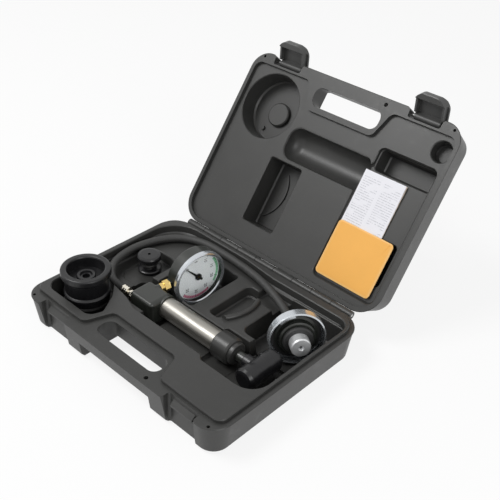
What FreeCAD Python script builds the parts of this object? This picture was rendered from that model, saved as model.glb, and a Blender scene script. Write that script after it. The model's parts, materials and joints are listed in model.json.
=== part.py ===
import FreeCAD, Part
import math
import os

V = FreeCAD.Vector

# ---------------------------------------------------------------- driving sizes, mm
# Case
case_w = 310.0            # over the side walls
front_y = -117.4          # front of bumpers and handle bar
back_y = 117.8            # back rim
base_h = 39.6             # floor to parting plane
lid_h = 40.6              # parting plane to lid top
tongue_h = 4.2            # raised tray edge above the base rim
ledge = 6.0               # rim width outside the tongue
corner_back_r = 30.0
corner_front_r = 24.0
gap = 0.4                 # clearance of tongue in lid

# Hinge
hinge_y = 122.2
hinge_z = 37.4
open_deg = 126.4
hinge_half = 133.0        # reach of the knuckle row each way from the middle
hinge_knuckles = 9
hinge_lug_r = 4.6
hinge_pin_r = 1.6

# Handle and latches
handle_half = 57.0        # half width of the finger space under the bar
slot_x0 = -47.0
slot_x1 = 51.0
slot_y0 = -100.8
slot_y1 = -76.4
bar_z = 21.3              # underside of the handle bar
latch_x = 102.3
latch_w = 42.0
latch_slot_w = 43.8
latch_back_y = -106.0
latch_pin_y = -111.2
latch_pin_z = base_h + 10.0
latch_pin_r = 1.5
latch_open_deg = 54.0

# Tray levels
deck_z = base_h + tongue_h
hose_floor = 33.5
deep_floor = 5.6
lip_at = V(-7.0, 48.0, 0)   # centre of the curved lip on the shelf
lip_r = 47.5

# Pump
pump_y = -9.3
pump_z = 28.2
barrel_r = 12.4
barrel_bore = 11.0
head_x0 = -69.0
head_x1 = -31.0
rod_r = 6.0
handle_x = 113.0
fitting_y = -23.0

# Gauge
gauge_y = 47.0
gauge_z = 38.2
gauge_r = 33.2
bezel_r = 35.2
gauge_back_x = -56.0
gauge_front_x = -34.4
gauge_turn = -7.7        # its face looks a little toward the front
gauge_shift = V(2.2, -0.4, 0)
union_x = -49.0           # stem axis, before the turn

# Radiator cap adapter, measured along its own axis from the skirt's rim
cap_at = V(117.0, 47.0, 37.6)
cap_turn = -37.0          # heading of its axis from +X
cap_tilt = 7.0            # axis above level
cap_r = 32.0
cap_tail = -27.0          # where the hose meets its ferrule

# Adapters
tall_at = (-112.5, -58.8)
tall_rim_r = 29.0
tall_top = 66.0
small_at = (-108.2, 31.5)
small_top = 43.2

# Hose
hose_r = 4.75
hose_start_x = -91.5

OPEN = (V(0, hinge_y, hinge_z), V(1, 0, 0), -open_deg)


# ---------------------------------------------------------------- helpers
def rounded_wire(points, z):
    """Closed wire through (x, y, r) corners, each rounded with a tangent arc."""
    n = len(points)
    starts = []
    ends = []
    mids = []
    for i in range(n):
        p = V(points[i][0], points[i][1], z)
        a = V(points[i - 1][0], points[i - 1][1], z)
        b = V(points[(i + 1) % n][0], points[(i + 1) % n][1], z)
        r = points[i][2]
        u = (a - p).normalize()
        w = (b - p).normalize()
        half = u.getAngle(w) / 2.0
        t = r / math.tan(half)
        axis = (u + w).normalize()
        centre = p + axis * (r / math.sin(half))
        starts.append(p + u * t)
        ends.append(p + w * t)
        mids.append(centre - axis * r)
    edges = []
    for i in range(n):
        edges.append(Part.Arc(starts[i], mids[i], ends[i]).toShape())
        edges.append(Part.LineSegment(ends[i], starts[(i + 1) % n]).toShape())
    return Part.Wire(edges)


def inset(points, d):
    """Corner list moved inward by d (outward when d is negative); points run anticlockwise."""
    n = len(points)
    out = []
    for i in range(n):
        p = V(points[i][0], points[i][1], 0)
        a = V(points[i - 1][0], points[i - 1][1], 0)
        b = V(points[(i + 1) % n][0], points[(i + 1) % n][1], 0)
        e0 = (p - a).normalize()
        e1 = (b - p).normalize()
        n0 = V(-e0.y, e0.x, 0)
        n1 = V(-e1.y, e1.x, 0)
        shift = (n0 + n1) * (d / (1.0 + n0.dot(n1)))
        turn_left = e0.cross(e1).z > 0
        r = points[i][2] - d if turn_left else points[i][2] + d
        out.append((p.x + shift.x, p.y + shift.y, max(r, 0.6)))
    return out


def stack(levels):
    """Solid through a list of (points, z) outlines with the same number of corners."""
    wires = [rounded_wire(points, z) for points, z in levels]
    return Part.makeLoft(wires, True, True)


def well(points, top, floor, draft=1.2, lip=1.0):
    """Tool that cuts a drafted pocket with a broken top edge, open above top."""
    low = inset(points, draft)
    foot = inset(points, draft + 1.6)
    wide = inset(points, -lip)
    levels = [(foot, floor), (low, floor + 1.6), (points, top - lip), (wide, top), (wide, top + 8)]
    return stack(levels)


def lid_well(points, bottom, roof, draft=1.2, lip=1.0):
    """The same tool upside down, for recesses in the closed lid."""
    low = inset(points, draft)
    foot = inset(points, draft + 1.6)
    wide = inset(points, -lip)
    levels = [(wide, bottom - 8), (wide, bottom), (points, bottom + lip), (low, roof - 1.6), (foot, roof)]
    return stack(levels)


def rect(x0, y0, x1, y1, r):
    return [(x0, y0, r), (x1, y0, r), (x1, y1, r), (x0, y1, r)]


def box(x0, y0, z0, x1, y1, z1):
    return Part.makeBox(x1 - x0, y1 - y0, z1 - z0, V(x0, y0, z0))


def cyl(r, length, at, axis):
    return Part.makeCylinder(r, length, at, axis)


def revolve(profile, axis_at=V(0, 0, 0)):
    """Solid of revolution about +Z from (r, z) points."""
    pts = [V(r, 0, z) for r, z in profile]
    pts.append(pts[0])
    face = Part.Face(Part.makePolygon(pts))
    solid = face.revolve(V(0, 0, 0), V(0, 0, 1), 360)
    solid.translate(axis_at)
    return solid


def ring(r_out, r_in, z0, z1, at=V(0, 0, 0)):
    outer = cyl(r_out, z1 - z0, at + V(0, 0, z0), V(0, 0, 1))
    return outer.cut(cyl(r_in, z1 - z0, at + V(0, 0, z0), V(0, 0, 1)))


def lying(shape, at):
    """Turn a shape built along +Z so that it points along +X, and move it."""
    shape.rotate(V(0, 0, 0), V(0, 1, 0), 90)
    shape.translate(at)
    return shape


def hexagon(across, length):
    """Hexagonal bar along +Z from the origin."""
    r = across / math.sqrt(3.0)
    pts = [V(r * math.cos(math.radians(60 * i)), r * math.sin(math.radians(60 * i)), 0) for i in range(7)]
    return Part.Face(Part.makePolygon(pts)).extrude(V(0, 0, length))


def opened(shape):
    """Lid pieces are drawn closed, then swung to the open rest pose."""
    shape.rotate(*OPEN)
    return shape


# ---------------------------------------------------------------- outlines
def outline():
    h = case_w / 2.0
    f = corner_front_r
    b = corner_back_r
    return [(-h, front_y, f), (h, front_y, f), (h, back_y, b), (-h, back_y, b)]


def tray_outline():
    """Edge of the raised tray: it steps back behind the handle."""
    x = case_w / 2.0 - ledge
    y = back_y - ledge
    return [
        (-x, -103.0, 10.0), (-62.0, -103.0, 9.0), (-50.0, -69.0, 9.0), (50.0, -69.0, 9.0),
        (62.0, -103.0, 9.0), (x, -103.0, 10.0), (x, y, 24.0), (-x, y, 24.0),
    ]


MAIN_WELL = [
    (-143.5, -34.0, 6.0), (-92.0, -37.0, 10.0), (-62.0, -42.0, 12.0), (-40.0, -49.0, 14.0),
    (66.0, -49.0, 3.0), (71.0, -54.0, 3.0), (145.0, -54.0, 24.0), (145.0, 103.0, 16.0),
    (30.0, 103.0, 60.0), (-20.0, 108.4, 60.0), (-143.5, 108.4, 40.0),
]

TALL_WELL = [
    (-143.0, -93.0, 14.0), (-66.0, -93.0, 12.0), (-60.0, -77.0, 8.0), (-74.0, -54.0, 12.0),
    (-98.0, -29.5, 8.0), (-143.0, -29.5, 12.0),
]


# ---------------------------------------------------------------- case base
def finger_space():
    """Sloping room under the handle bar, open at the front and below."""
    pts = [V(0, -140, -1), V(0, -49, -1), V(0, -73.5, bar_z), V(0, -140, bar_z), V(0, -140, -1)]
    tool = Part.Face(Part.makePolygon(pts)).extrude(V(2 * handle_half, 0, 0))
    tool.translate(V(-handle_half, 0, 0))
    return tool


def handle_slot(z0, z1):
    pts = rect(slot_x0, slot_y0, slot_x1, slot_y1, 10.0)
    return Part.Face(rounded_wire(pts, z0)).extrude(V(0, 0, z1 - z0))


def latch_slot(side, z0, z1):
    x = side * latch_x
    half = latch_slot_w / 2
    y = front_y - 0.1
    pts = [(x - half - 9, y - 20, 2), (x + half + 9, y - 20, 2), (x + half + 9, y, 1), (x + half, y, 5),
           (x + half, latch_back_y, 3), (x - half, latch_back_y, 3), (x - half, y, 5), (x - half - 9, y, 1)]
    return Part.Face(rounded_wire(pts, z0)).extrude(V(0, 0, z1 - z0))


def catch(side):
    x = side * latch_x
    y0 = latch_back_y + 2
    y1 = latch_back_y - 5.0
    z = 27.2
    pts = [V(0, y0, z), V(0, y1, z), V(0, y1, z + 2.0), V(0, y0, z + 8.5), V(0, y0, z)]
    solid = Part.Face(Part.makePolygon(pts)).extrude(V(31, 0, 0))
    solid.translate(V(x - 15.5, 0, 0))
    return solid


def knuckle_spans(first):
    """Every second knuckle of the hinge row, starting from the given one, as (x0, x1)."""
    pitch = 2 * hinge_half / hinge_knuckles
    starts = [-hinge_half + i * pitch for i in range(first, hinge_knuckles, 2)]
    return [(x + 0.3, x + pitch - 0.3) for x in starts]


def hinge_lugs(spans, bracket):
    """Knuckles of one leaf, each a barrel with its bracket."""
    solids = []
    for x0, x1 in spans:
        barrel = cyl(hinge_lug_r, x1 - x0, V(x0, hinge_y, hinge_z), V(1, 0, 0))
        for y0, z0, y1, z1 in bracket:
            barrel = barrel.fuse(box(x0, y0, z0, x1, y1, z1))
        solids.append(barrel)
    return solids


def hinge_rod(r):
    return cyl(r, 2 * hinge_half + 1.4, V(-hinge_half - 0.7, hinge_y, hinge_z), V(1, 0, 0))


def pump_trough():
    """Room for the head, barrel, collar and T handle, with a saddle under the barrel."""
    head = well(rect(-96, -37, -22, 12, 8), hose_floor, 8.0)
    barrel = well(rect(-40, -47, 52, 5.4, 6), hose_floor, 15.3)
    collar = well(rect(46, -47, 86, 11, 5), hose_floor, 9.5)
    handle = well([(80, -52, 4), (143, -52, 23), (143, 20.5, 8), (80, 20.5, 4)], hose_floor, 9.0)
    return [head, barrel, collar, handle]


def hose_channels():
    """Deeper floor where the hose leaves the head and where it drops to the cap adapter."""
    exit_pts = [(-143.0, -27.0, 6), (-98.0, -36.0, 4), (-86.0, -36.0, 4), (-86.0, 6.0, 4), (-112.0, 10.0, 4),
                (-127.0, 46.0, 4), (-143.0, 46.0, 4)]
    return [well(exit_pts, hose_floor, 21.0), well(rect(28, 68, 72, 99, 8), hose_floor, 25.0)]


def shelf_groove():
    """Parts groove in the shelf, its far side bowed along the curved lip."""
    tool = well(rect(11, 15, 52, 83, 7), hose_floor, 20.0)
    return tool.common(cyl(lip_r, 60, V(lip_at.x, lip_at.y, 0), V(0, 0, 1)))


def curved_lip():
    """Raised round-topped lip between the parts groove and the cap adapter bay."""
    profile = [(lip_r, 19.0), (lip_r + 6.4, 19.0), (lip_r + 6.4, hose_floor)]
    for k in range(9):
        turn = math.radians(22.5 * k)
        profile.append((lip_r + 3.2 + 3.2 * math.cos(turn), hose_floor + 1.6 + 3.2 * math.sin(turn)))
    band = revolve(profile, lip_at)
    return band.common(box(20, 18, 0, 58, 68, 50))


def base_shell():
    edge = outline()
    body = stack([(inset(edge, 9.0), 0.0), (inset(edge, 5.5), 4.0), (inset(edge, 0.8), base_h - 1.6),
                  (inset(edge, 0.0), base_h - 0.8), (inset(edge, 0.8), base_h)])
    tray = tray_outline()
    body = body.fuse(stack([(tray, 30.0), (tray, deck_z - 0.8), (inset(tray, 0.8), deck_z)]))
    tools = [finger_space(), handle_slot(-1, 60)]
    for side in (-1, 1):
        tools.append(latch_slot(side, -1, 60))
    tools.append(hinge_rod(5.2))
    tools.append(well(MAIN_WELL, deck_z, hose_floor))
    tools.append(well(TALL_WELL, deck_z, deep_floor))
    tools += pump_trough() + hose_channels()
    tools.append(well(rect(-69, 8, -9, 87, 5), hose_floor, 2.6, 0.4))
    tools.append(shelf_groove())
    tools.append(well(rect(60, 18.5, 143.5, 100, 10), hose_floor, 3.8))
    tools.append(well(rect(-127, -6, -80, 54, 16), hose_floor, 19.6))
    tools.append(cyl(2.5, 60, V(49.5, -109.5, 0), V(0, 0, 1)))
    for x, y in ((-141, -111), (141, -111)):
        tools.append(cyl(1.8, 6, V(x, y, base_h - 5), V(0, 0, 1)))
    body = body.cut(tools)
    added = [curved_lip(), catch(-1), catch(1)]
    added += hinge_lugs(knuckle_spans(0), [(108.0, hinge_z - hinge_lug_r, hinge_y, hinge_z)])
    body = body.fuse(added).cut(hinge_rod(hinge_pin_r + 0.02))
    return body.removeSplitter()


# ---------------------------------------------------------------- case lid, drawn closed
def lid_pump_recess():
    """Half round recess with soft ends that clears the barrel."""
    z = deck_z + 0.2
    tool = cyl(21.0, 120.0, V(-56, -25.7, z), V(1, 0, 0))
    mouth = cyl(22.0, 122.0, V(-57, -25.7, z - 1.0), V(1, 0, 0))
    for x, soft in ((-60, 15.0), (64, 8.0)):
        tool = tool.makeFillet(soft, [e for e in tool.Edges if e.BoundBox.XLength < 0.01 and abs(e.BoundBox.XMin - x) < 6])
        mouth = mouth.makeFillet(soft + 1, [e for e in mouth.Edges if e.BoundBox.XLength < 0.01
                                            and abs(e.BoundBox.XMin - x) < 6])
    return tool.fuse(mouth.common(box(-60, -60, z - 12, 68, 10, z + 1)))


def stub_room(back, front, half, top):
    """Shallow block along the cap adapter's heading that clears its stub."""
    solid = box(back, -half, deck_z, front, half, top)
    solid.rotate(V(0, 0, 0), V(0, 0, 1), cap_turn)
    solid.translate(V(cap_at.x, cap_at.y, 0))
    return solid


def round_recess(x, y, r, bottom, roof):
    """Drafted round recess in the closed lid, with a broken edge and a soft corner."""
    profile = [(0, bottom - 8), (r + 1, bottom - 8), (r + 1, bottom), (r, bottom + 1), (r - 1.2, roof - 2),
               (r - 3.2, roof), (0, roof)]
    return revolve(profile, V(x, y, 0))


def gauge_rib():
    """Curved rib on the roof of the gauge recess."""
    at = V(-84, 38, 74.2)
    arc = cyl(42, 2.5, at, V(0, 0, 1)).cut(cyl(40.4, 2.5, at, V(0, 0, 1)))
    return arc.common(box(-64, 12, 70, -30, 76, 78))


def lid_shell():
    top = base_h + lid_h
    deck = deck_z + gap
    edge = outline()
    body = stack([(inset(edge, 0.8), base_h), (inset(edge, 0.0), base_h + 0.8), (inset(edge, 0.8), base_h + 1.6),
                  (inset(edge, 5.5), top - 4.0), (inset(edge, 9.0), top)])
    tray = inset(tray_outline(), -gap)
    tools = [stack([(tray, base_h - 5), (tray, deck)])]
    slot_top = base_h + (base_h - bar_z)
    tools.append(lid_finger_space(slot_top, top))
    tools.append(handle_slot(base_h - 5, top + 1))
    for side in (-1, 1):
        tools.append(latch_slot(side, base_h - 5, top + 1))
    tools.append(hinge_rod(5.2))
    tools.append(round_recess(-103, -56, 42.0, deck, 72.0))
    tools.append(lid_pump_recess())
    tools.append(lid_well(rect(-67, 0, -17, 86, 4), deck, 76.2, 0.8))
    recess = [(66, -64, 8), (144, -64, 8), (144, 104, 8), (57, 104, 8), (57, -36, 5), (66, -43, 5)]
    tools.append(lid_well(recess, deck, 50.0, 0.6))
    tools.append(lid_well(rect(67, -63, 143, -37, 5), 50.0, 74.0))
    pocket = [(85, 19.5, 5), (111, 19.5, 5), (111, 31, 4), (139, 31, 5), (139, 83, 6), (85, 83, 6)]
    tools += [lid_well(pocket, 50.0, 76.2), stub_room(5.0, 19.0, 6.5, 52.5)]
    tools.append(round_recess(136.5, -84.5, 12.5, deck, 60.0))
    tools.append(cyl(2.5, 60, V(49.5, -109.5, base_h - 5), V(0, 0, 1)))
    for x, y in ((-141, -111), (141, -111)):
        tools.append(cyl(1.8, 5, V(x, y, base_h), V(0, 0, 1)))
    body = body.cut(tools)
    boss = revolve([(0, 66.6), (14.0, 66.6), (15.5, 68.0), (15.5, 73.0), (0, 73.0)], V(-102, -52, 0))
    added = [boss, cyl(3.0, 5.0, V(-118, -29, 69.0), V(0, 0, 1)), gauge_rib()]
    bracket = [(113.0, 40.0, hinge_y, 46.0), (118.6, hinge_z, hinge_y, 46.0)]
    added += hinge_lugs(knuckle_spans(1), bracket)
    body = body.fuse(added).cut(hinge_rod(hinge_pin_r + 0.05))
    for side in (-1, 1):
        pin = cyl(latch_pin_r + 0.02, 52.4, V(side * latch_x - 26.2, latch_pin_y, latch_pin_z), V(1, 0, 0))
        body = body.cut(pin)
    return opened(body.removeSplitter())


def lid_finger_space(slot_top, top):
    pts = [V(0, -140, slot_top), V(0, -73.5, slot_top), V(0, -49, top + 1), V(0, -140, top + 1)]
    pts.append(pts[0])
    tool = Part.Face(Part.makePolygon(pts)).extrude(V(2 * handle_half, 0, 0))
    tool.translate(V(-handle_half, 0, 0))
    return tool


def latch(side):
    """Snap latch, drawn closed, swung open on its pin and then with the lid."""
    y = latch_pin_y
    z = latch_pin_z
    x0 = side * latch_x - latch_w / 2
    front = [(y - 3.4, z + 3.6), (y - 5.6, z + 1.4), (y - 7.0, z - 4.0), (y - 7.4, z - 22.0), (y - 6.6, z - 28.0),
             (y - 4.4, z - 31.4), (y - 1.4, z - 32.0), (y + 3.6, z - 32.0), (y + 4.4, z - 31.0), (y + 4.4, z - 24.4),
             (y + 3.6, z - 23.4), (y - 3.4, z - 23.4), (y - 4.6, z - 21.0), (y - 4.4, z - 5.4), (y, z - 4.4), (y, z + 4.4)]
    poly = [V(0, a, b) for a, b in front]
    poly.append(poly[0])
    body = Part.Face(Part.makePolygon(poly)).extrude(V(latch_w, 0, 0))
    body.translate(V(x0, 0, 0))
    tall = rounded_wire(rect(x0, -60, x0 + latch_w, -10, 15.0), 0)
    mask = Part.Face(tall).extrude(V(0, 0, 40))
    mask.rotate(V(0, 0, 0), V(1, 0, 0), 90)
    mask.translate(V(0, y + 20, z - 32.0 + 60))
    body = body.common(mask)
    knuckle = cyl(4.4, latch_w - 8, V(x0 + 4, y, z), V(1, 0, 0))
    body = body.cut([box(x0 - 1, y - 4.4, z - 4.6, x0 + 4, y + 5, z + 5), box(x0 + latch_w - 4, y - 4.4, z - 4.6,
                                                                           x0 + latch_w + 1, y + 5, z + 5)])
    for x in (x0 + 2.0, x0 + latch_w - 4.5):
        body = body.fuse(box(x, y - 5.0, z - 24, x + 2.5, y + 2.6, z - 6.5))
    body = body.fuse(knuckle).removeSplitter()
    body = body.cut(cyl(latch_pin_r + 0.05, latch_w + 2, V(x0 - 1, y, z), V(1, 0, 0)))
    body.rotate(V(0, y, z), V(1, 0, 0), -latch_open_deg)
    return opened(body)


def latch_pins():
    pins = []
    for side in (-1, 1):
        pins.append(cyl(latch_pin_r, 52.0, V(side * latch_x - 26.0, latch_pin_y, latch_pin_z), V(1, 0, 0)))
    return opened(Part.makeCompound(pins))


def hinge_pins():
    """Two pins that meet in the middle knuckle."""
    length = hinge_half - 0.5
    return Part.makeCompound([cyl(hinge_pin_r, length, V(x, hinge_y, hinge_z), V(1, 0, 0)) for x in (-length - 0.2, 0.2)])


# ---------------------------------------------------------------- pump
def pump_head():
    """Head block with a round boss that holds the barrel."""
    body = box(head_x0, -33, 11, head_x1, -1, 43)
    body = body.makeFillet(5.0, body.Edges)
    body = body.fuse(cyl(barrel_r + 1.8, 8.0, V(head_x1 - 7, pump_y, pump_z), V(1, 0, 0)))
    socket = cyl(barrel_r, 8.0, V(head_x1 - 6, pump_y, pump_z), V(1, 0, 0))
    chamber = cyl(4.2, 27.0, V(head_x0 + 11, pump_y, pump_z), V(1, 0, 0))
    cross = cyl(1.9, 14.0, V(head_x0 + 20, pump_y, pump_z), V(0, -1, 0))
    outlet = cyl(4.2, 10.5, V(head_x0 - 1, fitting_y, pump_z), V(1, 0, 0))
    feed = cyl(1.7, 12.0, V(head_x0 + 9, fitting_y, pump_z), V(1, 0, 0))
    riser = cyl(1.8, gauge_z - pump_z + 1.0, V(head_x0 + 14.7, pump_y, pump_z), V(0, 0, 1))
    boss = gauge_placed(cyl(5.2, 6.0, V(union_x, -8.4, gauge_z), V(0, 1, 0)))
    port = gauge_placed(cyl(4.5, 5.0, V(union_x, -7.2, gauge_z), V(0, 1, 0)))
    link = gauge_placed(cyl(1.5, 8.0, V(union_x, -12.4, gauge_z), V(0, 1, 0)))
    return body.fuse(boss).cut([socket, chamber, cross, outlet, feed, riser, port, link]).removeSplitter()


def pump_barrel():
    length = 60.0 - (head_x1 - 6)
    at = V(head_x1 - 6, pump_y, pump_z)
    return cyl(barrel_r, length, at, V(1, 0, 0)).cut(cyl(barrel_bore, length, at, V(1, 0, 0)))


def pump_collar():
    profile = [(barrel_r, 53.0), (13.7, 53.0), (15.7, 55.0), (15.7, 74.0), (14.4, 76.4), (12.8, 77.0),
               (12.8, 80.4), (11.8, 81.4), (rod_r + 0.05, 81.4), (rod_r + 0.05, 60.0), (barrel_r, 60.0)]
    return lying(revolve(profile), V(0, pump_y, pump_z))


def pump_rod():
    return cyl(rod_r, 112.0, V(-10, pump_y, pump_z), V(1, 0, 0))


def pump_piston():
    r = barrel_bore - 0.05
    profile = [(rod_r, -18.0), (r, -18.0), (r, -15.0), (9.4, -15.0), (9.4, -11.0), (r, -11.0),
               (r, -7.0), (rod_r, -7.0), (rod_r, -10.0), (0.0, -10.0), (0.0, -18.0)]
    return lying(revolve(profile), V(0, pump_y, pump_z))


def piston_seal():
    return lying(ring(barrel_bore - 0.03, 9.4, -15.0, -11.0), V(0, pump_y, pump_z))


def pump_handle():
    """T handle: grip bar across the pump with waisted ends, and a hub round the rod."""
    half = 25.5
    profile = [(0, -half), (9.0, -half), (11.6, -half + 1.2), (13.0, -half + 4.5), (13.0, -12), (12.2, -6),
               (12.2, 6), (13.0, 12), (13.0, half - 4.5), (11.6, half - 1.2), (9.0, half), (0, half)]
    bar = revolve(profile)
    bar.rotate(V(0, 0, 0), V(1, 0, 0), 90)
    bar.translate(V(handle_x, pump_y, pump_z))
    hub = cyl(8.0, 18.0, V(93.0, pump_y, pump_z), V(1, 0, 0))
    hub = hub.makeFillet(1.2, [e for e in hub.Edges if abs(e.BoundBox.XMax - 93.0) < 0.01])
    return bar.fuse(hub).cut(cyl(rod_r, 9.2, V(92.9, pump_y, pump_z), V(1, 0, 0))).removeSplitter()


def check_valve():
    ball = Part.makeSphere(3.0, V(head_x1 - 13, pump_y, pump_z))
    seat = cyl(4.2, 3.0, V(head_x1 - 9.5, pump_y, pump_z), V(1, 0, 0))
    seat = seat.cut(cyl(1.6, 3.0, V(head_x1 - 9.5, pump_y, pump_z), V(1, 0, 0)))
    return Part.makeCompound([ball, seat])


def hose_fitting():
    """Nickel fitting at the head: spigot, hexagon and tail under the ferrule."""
    x = head_x0
    hexa = lying(hexagon(12.0, 6.0), V(x - 6.0, fitting_y, pump_z))
    spigot = cyl(4.2, 10.0, V(x - 0.5, fitting_y, pump_z), V(1, 0, 0))
    collar = cyl(5.0, 3.6, V(x - 9.4, fitting_y, pump_z), V(1, 0, 0))
    tail = cyl(3.0, x - hose_start_x, V(hose_start_x, fitting_y, pump_z), V(1, 0, 0))
    body = hexa.fuse([spigot, collar, tail])
    return body.cut(cyl(1.6, 34.0, V(hose_start_x - 1, fitting_y, pump_z), V(1, 0, 0))).removeSplitter()


def ferrule():
    """Crimped sleeve along +Z, 9.5 mm long."""
    profile = [(3.0, 0), (5.6, 0), (6.1, 0.6), (6.1, 2.4), (5.7, 3.0), (5.7, 3.8), (6.1, 4.4), (6.1, 6.0),
               (5.7, 6.6), (5.7, 7.4), (6.1, 8.0), (6.1, 8.9), (5.6, 9.5), (3.0, 9.5)]
    return revolve(profile)


def hose_ferrules():
    near = lying(ferrule(), V(hose_start_x, fitting_y, pump_z))
    far = ferrule()
    far.translate(V(0, 0, cap_tail))
    return Part.makeCompound([near, cap_placed(far)])


# ---------------------------------------------------------------- gauge
def gauge_placed(shape):
    """Turn a gauge piece about the upright line through the middle of its face."""
    shape.rotate(V(gauge_front_x - 2.0, gauge_y, 0), V(0, 0, 1), gauge_turn)
    shape.translate(gauge_shift)
    return shape


def gauge_case():
    body = cyl(bezel_r - 0.6, -40.6 - gauge_back_x, V(gauge_back_x, gauge_y, gauge_z), V(1, 0, 0))
    body = body.makeFillet(2.5, [e for e in body.Edges if abs(e.BoundBox.XMax - gauge_back_x) < 0.01])
    neck = cyl(gauge_r, 3.0, V(-41.0, gauge_y, gauge_z), V(1, 0, 0))
    boss = box(union_x - 4.5, 10.2, gauge_z - 4.8, union_x + 4.5, 20.0, gauge_z + 4.8)
    body = body.fuse([neck, boss])
    bore = cyl(gauge_r - 1.5, 30.0, V(gauge_back_x + 2.0, gauge_y, gauge_z), V(1, 0, 0))
    port = cyl(1.5, 8.0, V(union_x, 9.5, gauge_z), V(0, 1, 0))
    seat = cyl(3.1, 3.6, V(union_x, 9.5, gauge_z), V(0, 1, 0))
    return gauge_placed(body.cut([bore, port, seat]).removeSplitter())


def gauge_bezel():
    profile = [(gauge_r, -40.4), (bezel_r - 0.4, -40.4), (bezel_r, -40.0), (bezel_r, -36.4), (bezel_r - 1.0, -34.9),
               (bezel_r - 2.2, gauge_front_x), (31.6, -35.2), (30.8, -36.5), (gauge_r, -36.5)]
    return gauge_placed(lying(revolve(profile), V(0, gauge_y, gauge_z)))


def gauge_lens():
    return gauge_placed(cyl(gauge_r - 0.2, 1.5, V(-38.0, gauge_y, gauge_z), V(1, 0, 0)))


def gauge_dial():
    plate = cyl(gauge_r - 1.8, 0.8, V(-43.8, gauge_y, gauge_z), V(1, 0, 0))
    seat = lying(ring(gauge_r - 1.5, gauge_r - 2.9, 0, 2.0), V(-45.8, gauge_y, gauge_z))
    body = plate.fuse(seat).cut(cyl(1.5, 6.0, V(-47.0, gauge_y, gauge_z), V(1, 0, 0)))
    return gauge_placed(body.removeSplitter())


def gauge_pointer():
    """Pointer with a round hub, standing at zero: down and to the left of the dial."""
    blade = [V(0, -1.5, -7.5), V(0, 1.5, -7.5), V(0, 1.7, 0), V(0, 0.35, 23.0), V(0, -0.35, 23.0), V(0, -1.7, 0)]
    blade.append(blade[0])
    solid = Part.Face(Part.makePolygon(blade)).extrude(V(0.8, 0, 0))
    solid = solid.fuse(cyl(4.2, 1.6, V(-0.4, 0, 0), V(1, 0, 0)))
    solid = solid.cut(cyl(1.2, 4.0, V(-1.5, 0, 0), V(1, 0, 0))).removeSplitter()
    solid.rotate(V(0, 0, 0), V(1, 0, 0), 45)
    solid.translate(V(-41.4, gauge_y, gauge_z))
    return gauge_placed(solid)


def gauge_shaft():
    return gauge_placed(cyl(1.15, 13.2, V(-53.6, gauge_y, gauge_z), V(1, 0, 0)))


def gauge_union():
    """Brass union between the head and the gauge stem."""
    hexa = hexagon(11.8, 7.2)
    shoulder = cyl(5.4, 4.8, V(0, 0, -4.8), V(0, 0, 1))
    spigot = cyl(4.5, 9.4, V(0, 0, -9.4), V(0, 0, 1))
    nose = cyl(3.0, 3.0, V(0, 0, 7.2), V(0, 0, 1))
    body = hexa.fuse([shoulder, spigot, nose]).cut(cyl(1.5, 24, V(0, 0, -11), V(0, 0, 1)))
    body.rotate(V(0, 0, 0), V(1, 0, 0), -90)
    body.translate(V(union_x, 2.6, gauge_z))
    return gauge_placed(body.removeSplitter())


# ---------------------------------------------------------------- cap adapter
def cap_placed(shape):
    """Put a shape drawn along +Z onto the cap adapter's axis."""
    shape.rotate(V(0, 0, 0), V(0, 1, 0), 90 - cap_tilt)
    shape.rotate(V(0, 0, 0), V(0, 0, 1), cap_turn)
    shape.translate(cap_at)
    return shape


def cap_axis():
    t = math.radians(cap_tilt)
    a = math.radians(cap_turn)
    return V(math.cos(t) * math.cos(a), math.cos(t) * math.sin(a), math.sin(t))


def cap_cup():
    """Chromed pressing: flat back, rolled skirt and two turned-in cam lips."""
    profile = [(4.0, -13.5), (27.0, -13.5), (30.5, -12.6), (cap_r, -10.8), (cap_r, -1.0), (cap_r - 0.6, -0.2),
               (cap_r - 1.5, 0.0), (cap_r - 1.8, -0.6), (cap_r - 1.8, -10.4), (28.5, -12.0), (4.0, -12.0)]
    body = revolve(profile)
    lips = []
    for turn in (0, 180):
        lip = ring(cap_r - 1.0, 27.6, -2.2, -0.6).common(box(18, -9, -5, 40, 9, 2))
        lip.rotate(V(0, 0, 0), V(0, 0, 1), turn + 25)
        lips.append(lip)
    return cap_placed(body.fuse(lips).removeSplitter())


def cap_gasket():
    return cap_placed(ring(28.0, 8.0, -12.0, -9.6))


def cap_plate():
    """Spring plate pressed into a shallow drum."""
    profile = [(8.0, -9.6), (24.5, -9.6), (24.5, -8.2), (21.5, -7.6), (20.5, -1.6), (19.0, -0.4), (8.0, -0.4)]
    return cap_placed(revolve(profile))


def cap_seal():
    profile = [(8.0, -0.4), (16.2, -0.4), (17.2, 0.8), (17.0, 3.0), (15.6, 4.6), (8.0, 4.6)]
    return cap_placed(revolve(profile))


def cap_stub():
    profile = [(1.7, -12.0), (7.9, -12.0), (7.9, 4.7), (11.2, 4.7), (11.2, 15.4), (10.0, 17.0), (3.2, 17.0),
               (1.7, 14.6)]
    return cap_placed(revolve(profile))


def cap_nipple():
    hexa = hexagon(15.0, 4.0)
    hexa.translate(V(0, 0, -17.5))
    spigot = cyl(4.0, 1.5, V(0, 0, -13.5), V(0, 0, 1))
    tail = cyl(3.0, 10.0, V(0, 0, cap_tail), V(0, 0, 1))
    body = hexa.fuse([spigot, tail]).cut(cyl(1.6, 20, V(0, 0, cap_tail - 1), V(0, 0, 1)))
    return cap_placed(body.removeSplitter())


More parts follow.
